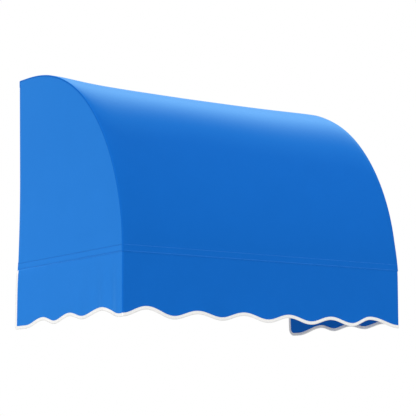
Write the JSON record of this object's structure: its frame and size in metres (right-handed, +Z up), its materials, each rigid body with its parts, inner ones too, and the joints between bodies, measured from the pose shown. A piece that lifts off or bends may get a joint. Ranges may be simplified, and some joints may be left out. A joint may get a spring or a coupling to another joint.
{
  "type": "window awning",
  "caption": "Fixed window awning: rounded fabric cover with wavy bound valances on a square steel tube frame with wall brackets.",
  "frame": {"origin": "on the wall face of the middle head bracket, midway between its two screw holes; the wall is the plane Y = 0", "axes": "+X along the wall to the right as seen from the front, +Y into the wall, +Z up; the awning stands out towards -Y"},
  "size_m": [1.15, 0.555, 0.8],
  "materials": {
    "canvas": "plain woven solution-dyed acrylic canvas, matt, blue",
    "binding_tape": "woven acrylic binding tape, matt, white",
    "galvanised_tube": "galvanised steel tube, dull grey with a faint spangle",
    "cast_connector": "die-cast aluminium, satin, slightly pebbled",
    "bracket_steel": "galvanised pressed steel, dull grey",
    "zinc_fastener": "bright zinc-plated steel"
  },
  "bodies": {
    "root": {"front_panel": "canvas", "side_panel_left": "canvas", "side_panel_right": "canvas", "front_valance": "canvas", "side_valance_left": "canvas", "side_valance_right": "canvas", "front_binding": "binding_tape", "side_binding_left": "binding_tape", "side_binding_right": "binding_tape", "front_flap": "canvas", "arm_flap_left": "canvas", "arm_flap_right": "canvas", "head_rail": "galvanised_tube", "front_rail": "galvanised_tube", "rib_left": "galvanised_tube", "rib_right": "galvanised_tube", "upright_left": "galvanised_tube", "upright_right": "galvanised_tube", "arm_left": "galvanised_tube", "arm_right": "galvanised_tube", "top_connector_left": "cast_connector", "top_connector_right": "cast_connector", "front_connector_left": "cast_connector", "front_connector_right": "cast_connector", "foot_connector_left": "cast_connector", "foot_connector_right": "cast_connector", "head_bracket_left": "bracket_steel", "head_bracket_middle": "bracket_steel", "head_bracket_right": "bracket_steel", "foot_bracket_left": "bracket_steel", "foot_bracket_right": "bracket_steel", "head_bolt_left": "zinc_fastener", "head_bolt_middle": "zinc_fastener", "head_bolt_right": "zinc_fastener", "foot_bolt_left": "zinc_fastener", "foot_bolt_right": "zinc_fastener", "screw_top_left_head_rail": "zinc_fastener", "screw_top_left_rib": "zinc_fastener", "screw_top_left_upright": "zinc_fastener", "screw_top_right_head_rail": "zinc_fastener", "screw_top_right_rib": "zinc_fastener", "screw_top_right_upright": "zinc_fastener", "screw_front_left_front_rail": "zinc_fastener", "screw_front_left_rib": "zinc_fastener", "screw_front_left_arm": "zinc_fastener", "screw_front_right_front_rail": "zinc_fastener", "screw_front_right_rib": "zinc_fastener", "screw_front_right_arm": "zinc_fastener", "screw_foot_left_upright": "zinc_fastener", "screw_foot_left_arm": "zinc_fastener", "screw_foot_right_upright": "zinc_fastener", "screw_foot_right_arm": "zinc_fastener"}
  },
  "joints": []
}
